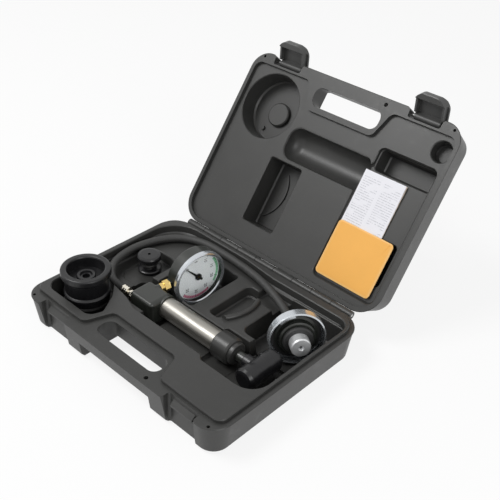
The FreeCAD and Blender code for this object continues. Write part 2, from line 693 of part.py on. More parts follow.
# ---------------------------------------------------------------- hose
def hose_points():
    """Corners of the hose's route, from the head fitting to the cap adapter."""
    n = cap_axis()
    end = cap_at + n * cap_tail
    before = end - n * 24.0
    return [
        V(hose_start_x, fitting_y, pump_z), V(-110.5, -23.0, 28.2), V(-127.0, -13.4, 31.4),
        V(-136.6, 3.2, 35.8), V(-137.2, 39.0, 38.6), V(-120.6, 82.0, 38.6), V(-88.9, 101.4, 38.5),
        V(-44.8, 101.9, 38.6), V(9.4, 97.3, 38.6), V(46.4, 86.5, 38.2), before, end,
    ]


def hose():
    pts = hose_points()
    edges = []
    radii = []
    here = pts[0]
    for i in range(1, len(pts) - 1):
        p = pts[i]
        u = (pts[i - 1] - p)
        w = (pts[i + 1] - p)
        reach = 0.45 * min(u.Length, w.Length)
        u.normalize()
        w.normalize()
        half_turn = (math.pi - u.getAngle(w)) / 2.0
        radius = reach / math.tan(half_turn)
        radii.append(round(radius, 1))
        axis = (u + w).normalize()
        centre = p + axis * (radius / math.cos(half_turn))
        edges.append(Part.LineSegment(here, p + u * reach).toShape())
        edges.append(Part.Arc(p + u * reach, centre - axis * radius, p + w * reach).toShape())
        here = p + w * reach
    edges.append(Part.LineSegment(here, pts[-1]).toShape())
    path = Part.Wire(edges)
    section = Part.Wire([Part.Circle(pts[0], pts[1] - pts[0], hose_r).toShape()])
    solid = path.makePipeShell([section], True, False)
    ideal = path.Length * math.pi * hose_r ** 2
    print("hose length", round(path.Length, 1), "radii", radii, "volume ratio", round(solid.Volume / ideal, 5))
    return solid


# ---------------------------------------------------------------- loose adapters
def tall_body():
    profile = [(20.0, 6.0), (25.2, 6.0), (26.0, 7.0), (26.0, 22.0), (24.6, 22.0), (24.6, 26.0), (26.0, 26.0),
               (26.6, 33.0), (27.2, 33.8), (27.2, 36.0), (26.2, 37.0), (25.0, 38.0), (25.0, 54.6), (26.8, 57.0),
               (28.4, 57.8), (tall_rim_r, 59.0), (tall_rim_r, 64.2), (28.4, 65.5), (27.2, tall_top), (23.2, tall_top),
               (22.0, 65.5), (21.4, 64.2), (20.8, 52.0), (7.0, 52.0), (7.0, 46.0), (20.0, 46.0)]
    return revolve(profile, V(tall_at[0], tall_at[1], 0))


def tall_seal():
    profile = [(24.6, 22.0), (26.6, 22.2), (27.4, 24.0), (26.6, 25.8), (24.6, 26.0)]
    return revolve(profile, V(tall_at[0], tall_at[1], 0))


def tall_hub():
    profile = [(0, 42.0), (10.0, 42.0), (10.0, 46.0), (7.0, 46.0), (7.0, 52.0), (11.0, 52.0), (11.0, 55.6),
               (10.2, 56.6), (7.4, 56.6), (6.6, 54.2), (4.4, 54.2), (4.4, 50.0), (0, 50.0)]
    return revolve(profile, V(tall_at[0], tall_at[1], 0))


def small_body():
    profile = [(1.9, 20.2), (13.4, 20.2), (14.2, 21.0), (14.2, 23.6), (13.2, 24.4), (8.6, 25.2), (7.4, 28.0),
               (7.4, 32.0), (8.6, 35.4), (13.4, 36.8), (14.6, 37.8), (14.6, 41.2), (13.6, small_top - 0.6),
               (10.6, small_top), (1.9, small_top)]
    return revolve(profile, V(small_at[0], small_at[1], 0))


def small_seal():
    profile = [(7.4, 28.2), (9.4, 28.4), (10.2, 30.0), (9.4, 31.6), (7.4, 31.8)]
    return revolve(profile, V(small_at[0], small_at[1], 0))


# ---------------------------------------------------------------- papers in the lid
def leaflet():
    return opened(box(59.5, -34.5, 48.5, 117.0, 52.0, 49.5))


def envelope():
    return opened(box(58.2, 30.5, 45.4, 136.5, 99.6, 48.3))


# ---------------------------------------------------------------- export
PIECES = {
    "base_shell": base_shell,
    "lid_shell": lid_shell,
    "hinge_pins": hinge_pins,
    "latch_pins": latch_pins,
    "pump_head": pump_head,
    "pump_barrel": pump_barrel,
    "pump_collar": pump_collar,
    "pump_rod": pump_rod,
    "pump_piston": pump_piston,
    "piston_seal": piston_seal,
    "pump_handle": pump_handle,
    "check_valve": check_valve,
    "hose_fitting": hose_fitting,
    "hose_ferrules": hose_ferrules,
    "gauge_case": gauge_case,
    "gauge_bezel": gauge_bezel,
    "gauge_lens": gauge_lens,
    "gauge_dial": gauge_dial,
    "gauge_pointer": gauge_pointer,
    "gauge_shaft": gauge_shaft,
    "gauge_union": gauge_union,
    "cap_cup": cap_cup,
    "cap_gasket": cap_gasket,
    "cap_plate": cap_plate,
    "cap_seal": cap_seal,
    "cap_stub": cap_stub,
    "cap_nipple": cap_nipple,
    "hose": hose,
    "tall_body": tall_body,
    "tall_seal": tall_seal,
    "tall_hub": tall_hub,
    "small_body": small_body,
    "small_seal": small_seal,
    "leaflet": leaflet,
    "envelope": envelope,
}


def main():
    os.makedirs("parts", exist_ok=True)
    shapes = {name: make() for name, make in PIECES.items()}
    shapes["latch_left"] = latch(-1)
    shapes["latch_right"] = latch(1)
    for name, shape in shapes.items():
        shape.exportStep("parts/" + name + ".step")
        print(name, "solids", len(shape.Solids), "valid", shape.isValid(), "mm3", round(shape.Volume))


main()
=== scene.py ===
"""Radiator pressure tester in its open case: hose, dial print, papers, finishes and stage."""
import json
import math

import bmesh
import bpy
from bpy.props import FloatProperty, FloatVectorProperty, IntProperty, PointerProperty
from mathutils import Matrix, Vector


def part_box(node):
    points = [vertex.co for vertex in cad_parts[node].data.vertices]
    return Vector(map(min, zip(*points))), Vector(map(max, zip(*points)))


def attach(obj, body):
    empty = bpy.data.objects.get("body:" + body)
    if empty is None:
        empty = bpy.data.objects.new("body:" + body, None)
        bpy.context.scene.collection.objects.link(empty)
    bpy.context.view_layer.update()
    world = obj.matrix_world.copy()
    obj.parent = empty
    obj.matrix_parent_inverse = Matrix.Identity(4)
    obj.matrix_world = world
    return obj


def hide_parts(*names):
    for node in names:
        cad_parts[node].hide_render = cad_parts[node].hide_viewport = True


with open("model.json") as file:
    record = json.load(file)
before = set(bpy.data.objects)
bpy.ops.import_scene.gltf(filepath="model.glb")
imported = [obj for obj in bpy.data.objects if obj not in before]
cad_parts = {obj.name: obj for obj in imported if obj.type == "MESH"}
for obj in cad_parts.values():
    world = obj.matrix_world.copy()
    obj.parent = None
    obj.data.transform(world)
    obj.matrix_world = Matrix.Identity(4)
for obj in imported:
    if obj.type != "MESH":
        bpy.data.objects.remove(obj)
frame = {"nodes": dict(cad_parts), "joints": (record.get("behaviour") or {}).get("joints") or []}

bl_info = {
    "name": "Radiator pressure tester",
    "version": (1, 0, 0),
    "blender": (4, 5, 0),
    "location": "3D View > Sidebar > Tester",
    "description": "Dresses a cooling system pressure tester kit in its open case",
    "category": "Object",
}


# ---------------------------------------------------------------- settings
def colour(name, what, rgb):
    return FloatVectorProperty(name=name, description=what, subtype="COLOR", size=3, min=0.0, max=1.0,
                               default=rgb)


def length(name, what, metres):
    return FloatProperty(name=name, description=what, subtype="DISTANCE", unit="LENGTH", precision=5,
                         default=metres)


def angle(name, what, degrees):
    return FloatProperty(name=name, description=what, subtype="ANGLE", unit="ROTATION",
                         default=math.radians(degrees))


def power(name, what, watts):
    return FloatProperty(name=name, description=what, subtype="POWER", unit="POWER", default=watts)


class TesterColours(bpy.types.PropertyGroup):
    case: colour("Case", "Moulded case halves", (0.033, 0.033, 0.0315))
    latch: colour("Latch", "Snap latches", (0.054, 0.054, 0.053))
    paint: colour("Pump paint", "Painted pump head and gauge case", (0.016, 0.018, 0.015))
    handle: colour("Black plastic", "Handle and adapters", (0.009, 0.009, 0.010))
    rubber: colour("Hose rubber", "Rubber hose", (0.030, 0.030, 0.029))
    steel: colour("Barrel steel", "Pump barrel", (0.33, 0.318, 0.29))
    brass: colour("Brass", "Gauge union and small fittings", (0.74, 0.54, 0.20))
    chrome: colour("Chrome", "Cap adapter and bezel", (0.60, 0.63, 0.66))
    dial: colour("Dial", "Dial plate", (0.84, 0.86, 0.87))
    band_low: colour("Working band", "Band over the working pressures", (0.22, 0.52, 0.30))
    band_high: colour("High band", "Band over the high pressures", (0.74, 0.24, 0.35))
    leaflet: colour("Leaflet", "Instruction leaflet", (0.80, 0.80, 0.84))
    envelope: colour("Envelope", "Paper envelope", (0.87, 0.44, 0.09))


class TesterSizes(bpy.types.PropertyGroup):
    """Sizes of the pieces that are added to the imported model."""

    hose: length("Hose", "Hose diameter", 0.0095)
    dial: length("Dial radius", "Printed radius of the dial", 0.0300)
    tick: length("Tick", "Length of a long tick", 0.0040)
    figure: length("Figure", "Height of the dial's figures", 0.0056)
    sweep: angle("Sweep", "Angle from the first tick to the last", 270.0)
    steps: IntProperty(name="Figures", description="Number of figured steps round the dial", min=2, default=7)
    paper: length("Paper", "Thickness of one folded sheet", 0.0003)
    lid_open: angle("Lid", "How far the lid stands open", 126.4)


class TesterStage(bpy.types.PropertyGroup):
    """Camera and light."""

    azimuth: angle("Azimuth", "Camera direction round the kit", 42.02)
    elevation: angle("Elevation", "Camera height angle", 34.9)
    roll: angle("Roll", "Camera roll", 2.56)
    distance: length("Distance", "Camera distance", 0.92919)
    lens: FloatProperty(name="Lens", description="Focal length", subtype="DISTANCE_CAMERA", default=60.18)
    sky: FloatProperty(name="Sky", description="Level of the even light", min=0.0, default=0.42)
    key: power("Key", "Power of the main lamp", 24.0)
    fill: power("Fill", "Power of the second lamp", 8.0)


# ---------------------------------------------------------------- places and small sizes, m
VIEW_CENTRE = Vector((0.0, 0.0, 0.05314))
VIEW_RIGHT = 0.06499                         # the aim's distance from it, right and up in the picture
VIEW_UP = 0.05395

HOSE_ROUTE = (
    (-0.0915, -0.0230, 0.0282), (-0.1105, -0.0230, 0.0282), (-0.1270, -0.0134, 0.0314),
    (-0.1366, 0.0032, 0.0358), (-0.1372, 0.0390, 0.0386), (-0.1206, 0.0820, 0.0386),
    (-0.0889, 0.1014, 0.0385), (-0.0448, 0.1019, 0.0386), (0.0094, 0.0973, 0.0386),
    (0.0464, 0.0865, 0.0382), (0.07657, 0.07746, 0.03138), (0.09560, 0.06313, 0.03431),
)

DIAL_AT = Vector((-0.040741, 0.047484, 0.0382))
DIAL_RIGHT = Vector((0.0, 0.0, -1.0))
DIAL_UP = Vector((0.13399, 0.99098, 0.0))
DIAL_OUT = Vector((0.99098, -0.13399, 0.0))
TICKS_A_STEP = 5          # ticks from one figure to the next
FIGURE_STEP = 5           # what the figures count by
LONG_TICK = 0.00060       # width of a tick at a figure
SHORT_TICK = 0.00028      # width of a tick between figures
INK = 0.00003             # thickness of the printed ticks
BAND_LIFT = 0.00002       # height of the bands, ticks and figures over the plate
TICK_LIFT = 0.00003
FIGURE_LIFT = 0.00004
LOW_BAND = (0.36, 0.63)   # shares of the sweep
HIGH_BAND = (0.71, 1.00)

STUB_AXIS = Vector((0.7927, -0.5973, 0.1219)).normalized()

# The papers are placed in the shut lid, which lid_place then opens.
LEAFLET_LOW = Vector((0.0597, -0.0343))
LEAFLET_HIGH = Vector((0.1168, 0.0515))
ENVELOPE_LOW = Vector((0.0584, 0.0308, 0.0455))
ENVELOPE_HIGH = Vector((0.1363, 0.0994, 0.0482))
ENVELOPE_CORNER = 0.0050
ENVELOPE_CUTS = 8         # strips each way, so that the body can swell
FLAP_MIDDLE = 0.0125      # from the body's front edge to the middle of the flap
FLAP_DEEP = 0.021
FLAP_SHEET = 0.00035      # thickness of the flap, and its height over the lower face of the body's box
FLAP_MARGIN = 0.010       # how much narrower the flap is than the body

FLOOR_SIZE = 8.0
FLOOR_DROP = 0.0003       # how far the floor lies under the case
FLOOR_GLOW = 0.85         # share of the floor's own white in what is seen of it
LAMP_AIM = (0, 0.05, 0.05)
LAMP_SIZE = 0.9


# ---------------------------------------------------------------- shader maths
class Value:
    """A shader socket that takes part in sums."""

    def __init__(self, paint, socket):
        self.paint = paint
        self.socket = socket

    def maths(self, operation, *others, clamp=False):
        inputs = dict(enumerate((self, *others)))
        return self.paint.node("ShaderNodeMath", {"operation": operation, "use_clamp": clamp}, inputs)

    def __add__(self, other):
        return self.maths("ADD", other)

    def __sub__(self, other):
        return self.maths("SUBTRACT", other)

    def __mul__(self, other):
        return self.maths("MULTIPLY", other)

    def __radd__(self, other):
        return self + other

    def __rmul__(self, other):
        return self * other

    def __rsub__(self, other):
        return self * -1.0 + other

    def above(self, level, softness):
        """0 below the level, 1 well above it."""
        return (self * (1.0 / softness)).maths("ADD", -level / softness, clamp=True)

    def wave(self):
        return self.maths("SINE") * 0.5 + 0.5

    def part(self):
        return self.maths("FRACT")


class Nodes:
    """The nodes of a material or of the room."""

    def __init__(self, owner, output):
        owner.use_nodes = True
        self.tree = owner.node_tree
        self.surface = self.tree.nodes[output].inputs["Surface"]

    def show(self, value):
        """Make a shader the one that is seen."""
        self.tree.links.new(value.socket, self.surface)

    def node(self, kind, settings, inputs, output=0):
        made = self.tree.nodes.new(kind)
        for key, value in settings.items():
            if key == "stops":
                ramp = made.color_ramp
                while len(ramp.elements) < len(value):
                    ramp.elements.new(0.5)
                for stop, (at, tone) in zip(ramp.elements, value):
                    stop.position = at
                    stop.color = tone
            else:
                setattr(made, key, value)
        for key, value in inputs.items():
            if isinstance(value, Value):
                self.tree.links.new(value.socket, made.inputs[key])
            else:
                made.inputs[key].default_value = value
        return Value(self, made.outputs[output])

    def place(self, output="Object"):
        return self.node("ShaderNodeTexCoord", {}, {}, output)

    def stretched(self, scale=(1, 1, 1), turn=(0, 0, 0), output="Object"):
        inputs = {"Vector": self.place(output), "Scale": scale, "Rotation": turn}
        return self.node("ShaderNodeMapping", {"vector_type": "POINT"}, inputs)

    def noise(self, scale, detail=2.0, rough=0.5, at=None):
        inputs = {"Vector": at or self.place(), "Scale": scale, "Detail": detail, "Roughness": rough}
        return self.node("ShaderNodeTexNoise", {}, inputs)

    def mix(self, factor, first, second):
        inputs = {0: factor}
        for key, tone in ((6, first), (7, second)):
            inputs[key] = tone if isinstance(tone, Value) else (*tone, 1.0)
        return self.node("ShaderNodeMix", {"data_type": "RGBA"}, inputs, 2)

    def split(self, at):
        return [self.node("ShaderNodeSeparateXYZ", {}, {0: at}, i) for i in range(3)]

    def off_axis(self, point, along):
        """Distance from a line through point."""
        away = self.node("ShaderNodeVectorMath", {"operation": "SUBTRACT"}, {0: self.place(), 1: point})
        across = self.node("ShaderNodeVectorMath", {"operation": "CROSS_PRODUCT"}, {0: away, 1: along})
        return self.node("ShaderNodeVectorMath", {"operation": "LENGTH"}, {0: across}, "Value")

    def ray(self, kind):
        return self.node("ShaderNodeLightPath", {}, {}, kind)

    def seen(self):
        """1 where the camera looks, straight, by a reflection or through glass; 0 for light."""
        rays = self.ray("Is Camera Ray") + self.ray("Is Glossy Ray") + self.ray("Is Transmission Ray")
        return rays.maths("MINIMUM", 1.0)


class Paint(Nodes):
    """One material, its shader and the nodes behind it."""

    def __init__(self, name, rough=0.5, metal=0.0, base=None):
        self.material = bpy.data.materials.new(name)
        super().__init__(self.material, "Material Output")
        self.shader = self.tree.nodes["Principled BSDF"]
        self.plain("Roughness", rough)
        self.plain("Metallic", metal)
        if base is not None:
            self.plain("Base Color", (*base, 1.0))

    def plain(self, socket, value):
        self.shader.inputs[socket].default_value = value

    def feed(self, socket, value):
        self.tree.links.new(value.socket, self.shader.inputs[socket])

    def bump(self, height, depth):
        inputs = {"Height": height, "Distance": depth, "Strength": 1.0}
        self.feed("Normal", self.node("ShaderNodeBump", {}, inputs, "Normal"))

    def blend(self, factor, other):
        """Show the other shader by the factor, and this material's own for the rest."""
        own = Value(self, self.shader.outputs[0])
        self.show(self.node("ShaderNodeMixShader", {}, {0: factor, 1: own, 2: other}))


def shade(tone, by):
    return tuple(min(1.0, c * by) for c in tone)


# ---------------------------------------------------------------- finishes
def moulded(name, tone, grain=1000.0, depth=0.00007, rough=0.50, scuffs=0.35):
    """Moulded plastic: fine pebble grain, soft mottling, rubbed patches and a few hair scratches."""
    paint = Paint(name)
    pebble = paint.noise(grain, 2.0, 0.55)
    mottle = paint.noise(26.0, 4.0, 0.6)
    patches = paint.noise(70.0, 5.0, 0.65).above(0.56, 0.16)
    hairs = paint.noise(1.0, 3.0, 0.6, paint.stretched((60, 900, 700), (0.3, 0.5, 0.9))).above(0.69, 0.05)
    tint = paint.mix(mottle, shade(tone, 0.84), shade(tone, 1.16))
    tint = paint.mix(patches * 0.35, tint, shade(tone, 1.45))
    tint = paint.mix(hairs * scuffs, tint, shade(tone, 2.4))
    paint.feed("Base Color", tint)
    paint.feed("Roughness", pebble * 0.16 + mottle * 0.10 + (rough - 0.13) - patches * 0.06)
    paint.bump(pebble * 0.8 + mottle * 0.5 - hairs * 0.3, depth)
    paint.plain("Specular IOR Level", 0.42)
    return paint.material


def painted(name, tone):
    """Stoved satin paint over cast metal, with orange peel and a few bright nicks."""
    paint = Paint(name)
    peel = paint.noise(420.0, 2.0, 0.5)
    cloud = paint.noise(60.0, 3.0, 0.6)
    nicks = paint.noise(330.0, 4.0, 0.7).above(0.745, 0.02)
    tint = paint.mix(cloud, shade(tone, 0.8), shade(tone, 1.35))
    tint = paint.mix(nicks, tint, (0.30, 0.30, 0.29))
    paint.feed("Base Color", tint)
    paint.feed("Roughness", peel * 0.12 + cloud * 0.14 + 0.22)
    paint.bump(peel - nicks * 0.6, 0.00006)
    paint.plain("Coat Weight", 0.15)
    return paint.material


def metal(name, tone, rough=0.16, smudge=0.16, depth=0.00001, bright=1.0):
    """Bright metal with faint handling marks."""
    paint = Paint(name, metal=bright)
    film = paint.noise(90.0, 4.0, 0.65)
    fine = paint.noise(1500.0, 2.0, 0.5)
    spots = paint.noise(240.0, 3.0, 0.6).above(0.66, 0.06)
    tint = paint.mix(film, shade(tone, 0.88), shade(tone, 1.06))
    paint.feed("Base Color", paint.mix(spots * 0.5, tint, shade(tone, 0.55)))
    paint.feed("Roughness", film * smudge + spots * 0.12 + (rough - smudge * 0.5))
    paint.bump(fine, depth)
    return paint.material


def drawn_tube(name, tone):
    """Polished tube with fine lines along its length."""
    paint = Paint(name, metal=0.85)
    lines = paint.noise(1.0, 4.0, 0.65, paint.stretched((9, 1500, 1500)))
    film = paint.noise(70.0, 4.0, 0.6)
    paint.feed("Base Color", paint.mix(lines, shade(tone, 0.70), shade(tone, 1.18)))
    paint.feed("Roughness", lines * 0.22 + film * 0.12 + 0.20)
    paint.bump(lines, 0.000012)
    paint.plain("Anisotropic", 0.4)
    return paint.material


def turned(name, tone, point, along, pitch=0.00022, rough=0.24, metal=1.0):
    """Lathe-turned metal: fine rings round its axis."""
    paint = Paint(name, metal=metal)
    radius = paint.off_axis(point, along)
    rings = (radius * (2 * math.pi / pitch)).wave()
    film = paint.noise(160.0, 3.0, 0.6)
    paint.feed("Base Color", paint.mix(film, shade(tone, 0.82), shade(tone, 1.08)))
    paint.feed("Roughness", rings * 0.10 + film * 0.12 + (rough - 0.10))
    paint.bump(rings, 0.000012)
    return paint.material


def rubber(name, tone, rough=0.62, depth=0.00005):
    """Matt rubber with a faint bloom and talc in its grain."""
    paint = Paint(name)
    grain = paint.noise(1500.0, 3.0, 0.6)
    bloom = paint.noise(45.0, 4.0, 0.65)
    dust = paint.noise(300.0, 4.0, 0.7).above(0.58, 0.12)
    tint = paint.mix(bloom, shade(tone, 0.75), shade(tone, 1.5))
    paint.feed("Base Color", paint.mix(dust * 0.30, tint, shade(tone, 3.2)))
    paint.feed("Roughness", grain * 0.14 + bloom * 0.12 + (rough - 0.12))
    paint.bump(grain + bloom * 0.4, depth)
    return paint.material


def clear_lens(name):
    """Clear lens that lets the lamps through to the dial."""
    paint = Paint(name, rough=0.03, base=(0.97, 0.98, 0.98))
    paint.plain("Transmission Weight", 1.0)
    paint.plain("IOR", 1.46)
    through = paint.node("ShaderNodeBsdfTransparent", {}, {"Color": (0.95, 0.96, 0.96, 1.0)})
    paint.blend(paint.ray("Is Shadow Ray"), through)
    return paint.material


def enamel(name, tone, rough=0.42):
    """Thin even print or enamel."""
    paint = Paint(name)
    film = paint.noise(900.0, 3.0, 0.6)
    paint.feed("Base Color", paint.mix(film, shade(tone, 0.90), shade(tone, 1.05)))
    paint.feed("Roughness", film * 0.14 + (rough - 0.07))
    paint.bump(film, 0.000006)
    return paint.material


def printed_paper(name, tone):
    """Leaflet paper with fibre, a fold and rows of faint grey print."""
    paint = Paint(name)
    fibre = paint.noise(1.0, 4.0, 0.7, paint.stretched((500, 900, 900)))
    u, v, _ = paint.split(paint.place("UV"))
    row = (v * 30.0).part().above(0.50, 0.10) - (v * 30.0).part().above(0.86, 0.06)
    words = paint.noise(1.0, 2.0, 0.7, paint.stretched((46, 30, 1), output="UV")).above(0.42, 0.06)
    gutter = (u * 2.0).part()
    column = gutter.above(0.08, 0.02) * (1.0 - gutter.above(0.90, 0.02))
    frame_v = v.above(0.06, 0.01) * (1.0 - v.above(0.90, 0.01))
    breaks = paint.noise(1.0, 0.0, 0.5, paint.stretched((2, 9, 1), output="UV")).above(0.40, 0.02)
    text = row * words * column * frame_v * breaks
    sheet = paint.mix(fibre, shade(tone, 0.95), shade(tone, 1.06))
    paint.feed("Base Color", paint.mix(text * 0.42, sheet, (0.20, 0.20, 0.24)))
    paint.feed("Roughness", fibre * 0.12 + 0.66)
    paint.bump(fibre, 0.00002)
    return paint.material


def kraft(name, tone):
    """Coloured envelope paper: fibres, soft creases, paler towards the edges of its map."""
    paint = Paint(name)
    fibre = paint.noise(1.0, 5.0, 0.7, paint.stretched((700, 1400, 1400)))
    cloud = paint.noise(38.0, 4.0, 0.6)
    u, v, _ = paint.split(paint.place("UV"))
    # paler colour towards the edges of the UV map
    edge = (u - 0.5).maths("ABSOLUTE").maths("MAXIMUM", (v - 0.5).maths("ABSOLUTE")).above(0.455, 0.04)
    tint = paint.mix(fibre * 0.6 + cloud * 0.4, shade(tone, 0.90), shade(tone, 1.08))
    paint.feed("Base Color", paint.mix(edge * 0.45, tint, (0.93, 0.66, 0.33)))
    paint.feed("Roughness", fibre * 0.16 + 0.56)
    paint.bump(fibre + cloud * 1.5, 0.00004)
    return paint.material


def dress(material, *nodes):
    """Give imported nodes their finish."""
    for name in nodes:
        piece = frame["nodes"][name]
        if not piece.material_slots:
            piece.data.materials.append(material)
        for held in piece.material_slots:
            held.material = material


# ---------------------------------------------------------------- modelling by hand
def clear_hands():
    """Object mode, with nothing selected."""
    if bpy.context.object and bpy.context.object.mode != "OBJECT":
        bpy.ops.object.mode_set(mode="OBJECT")
    bpy.ops.object.select_all(action="DESELECT")


def started(name):
    """The primitive just added, alone in hand."""
    piece = bpy.context.object
    piece.name = name
    piece.data.name = name
    return piece


def pick(piece, test, kind="FACE"):
    """Select the faces, edges or points of a piece that pass a test, in edit mode."""
    bpy.ops.object.mode_set(mode="EDIT")
    bpy.ops.mesh.select_mode(type=kind)
    bpy.ops.mesh.select_all(action="DESELECT")
    mesh = bmesh.from_edit_mesh(piece.data)
    items = {"FACE": mesh.faces, "EDGE": mesh.edges, "VERT": mesh.verts}[kind]
    for item in items:
        if test(item):
            item.select_set(True)
    mesh.select_flush_mode()
    bmesh.update_edit_mesh(piece.data)


def finish(piece, *modifiers):
    """Add modifiers with their settings and apply them."""
    clear_hands()
    piece.select_set(True)
    bpy.context.view_layer.objects.active = piece
    for kind, settings in modifiers:
        made = piece.modifiers.new(kind.title(), kind)
        for key, value in settings.items():
            setattr(made, key, value)
        bpy.ops.object.modifier_apply(modifier=made.name)
    return piece


def settle(piece, material, body, place=None):
    """Put a piece's place into its mesh, give it its finish and let it ride on its body."""
    finish(piece)
    bpy.context.view_layer.update()
    piece.data.transform((place or Matrix.Identity(4)) @ piece.matrix_world)
    piece.matrix_world = Matrix.Identity(4)
    piece.data.materials.clear()
    piece.data.materials.append(material)
    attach(piece, body)
    return piece


def joined(pieces):
    """All the pieces as one, under the first one's name."""
    bpy.ops.object.select_all(action="DESELECT")
    for piece in pieces:
        piece.select_set(True)
    bpy.context.view_layer.objects.active = pieces[0]
    bpy.ops.object.join()
    return pieces[0]


def copies(piece, places):
    """A copy of a piece at each place, joined into one that takes its name."""
    made = []
    for place in places:
        twin = piece.copy()
        twin.data = piece.data.copy()
        twin.data.transform(place)
        bpy.context.scene.collection.objects.link(twin)
        made.append(twin)
    whole = joined(made)
    name = piece.name
    bpy.data.objects.remove(piece)
    whole.name = name
    return whole


def lid_place():
    """From the shut lid to the open lid."""
    sizes = bpy.context.scene.tester_sizes
    hinge = next(j for j in frame["joints"] if j["name"] == "lid_hinge")
    pivot = Matrix.Translation(Vector(hinge["pos_m"]))
    return pivot @ Matrix.Rotation(-sizes.lid_open, 4, "X") @ pivot.inverted()


# ---------------------------------------------------------------- operators
class TESTER_OT_camera(bpy.types.Operator):
    """Place the camera"""

    bl_idname = "tester.camera"
    bl_label = "Camera"

    def execute(self, context):
        stage = context.scene.tester_stage
        a, e, r = stage.azimuth, stage.elevation, stage.roll
        back = Vector((math.sin(a) * math.cos(e), -math.cos(a) * math.cos(e), math.sin(e)))
        level = Vector((math.cos(a), math.sin(a), 0.0))
        rise = back.cross(level)
        right = level * math.cos(r) + rise * math.sin(r)
        up = rise * math.cos(r) - level * math.sin(r)
        target = VIEW_CENTRE + right * VIEW_RIGHT + up * VIEW_UP
        facing = Matrix((right, up, back)).transposed().to_4x4()
        clear_hands()
        bpy.ops.object.camera_add()
        camera = context.object
        camera.matrix_world = Matrix.Translation(target + back * stage.distance) @ facing
        camera.data.sensor_width = 36.0
        camera.data.lens = stage.lens
        camera.data.clip_start = 0.05
        camera.data.clip_end = 40.0
        context.scene.camera = camera
        return {"FINISHED"}


class TESTER_OT_hose(bpy.types.Operator):
    """Lay the rubber hose from the pump head to the cap adapter"""

    bl_idname = "tester.hose"
    bl_label = "Hose"

    def execute(self, context):
        sizes, colours = context.scene.tester_sizes, context.scene.tester_colours
        curve = bpy.data.curves.new("rubber_hose", "CURVE")
        curve.dimensions = "3D"
        line = curve.splines.new("NURBS")
        line.points.add(len(HOSE_ROUTE) - 1)
        for point, at in zip(line.points, HOSE_ROUTE):
            point.co = (*at, 1.0)
        line.order_u = 3
        line.use_endpoint_u = True
        line.resolution_u = 12
        curve.bevel_depth = sizes.hose / 2
        curve.bevel_resolution = 8
        curve.use_fill_caps = True
        curve.materials.append(rubber("hose_rubber", colours.rubber))
        hose = bpy.data.objects.new("rubber_hose", curve)
        context.scene.collection.objects.link(hose)
        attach(hose, "tester")
        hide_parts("hose")
        return {"FINISHED"}


class TESTER_OT_case(bpy.types.Operator):
    """Finish the case halves, latches and pins"""

    bl_idname = "tester.case"
    bl_label = "Case"

    def execute(self, context):
        colours = context.scene.tester_colours
        dress(moulded("case_plastic", colours.case, rough=0.40), "base_shell", "lid_shell")
        dress(moulded("latch_plastic", colours.latch, 1400.0, 0.00004, 0.42, 0.2),
              "latch_left", "latch_right")
        dress(metal("pin_steel", (0.56, 0.56, 0.55), 0.26), "hinge_pins", "latch_pins")
        return {"FINISHED"}


class TESTER_OT_pump(bpy.types.Operator):
    """Finish the pump, its fittings and its handle"""

    bl_idname = "tester.pump"
    bl_label = "Pump"

    def execute(self, context):
        colours = context.scene.tester_colours
        dress(painted("pump_black", colours.paint), "pump_head", "pump_rod", "gauge_case", "cap_plate")
        dress(drawn_tube("barrel_steel", colours.steel), "pump_barrel")
        dress(moulded("black_plastic", colours.handle, 1300.0, 0.00003, 0.32, 0.25),
              "pump_handle", "tall_body", "tall_hub", "small_body")
        dress(moulded("collar_plastic", colours.case, 1300.0, 0.00003, 0.34, 0.25), "pump_collar")
        dress(metal("nickel", (0.80, 0.76, 0.66), 0.20), "hose_fitting", "hose_ferrules")
        dress(metal("brass", colours.brass, 0.26, 0.14),
              "pump_piston", "check_valve", "gauge_shaft", "gauge_union", "cap_nipple")
        dress(rubber("seal_rubber", (0.018, 0.018, 0.018), 0.5, 0.00002),
              "piston_seal", "cap_gasket", "cap_seal", "tall_seal", "small_seal")
        dress(rubber("hose_core", colours.rubber), "hose")
        return {"FINISHED"}


def dial_place(lift):
    """From a drawing with X to the dial's right and Y to its top."""
    turn = Matrix((DIAL_RIGHT, DIAL_UP, DIAL_OUT)).transposed().to_4x4()
    return Matrix.Translation(DIAL_AT + DIAL_OUT * lift) @ turn


def dial_angle(share, sweep):
    """Angle from the dial's right, anticlockwise, at a share of the sweep."""
    return math.radians(90) + sweep / 2 - sweep * share


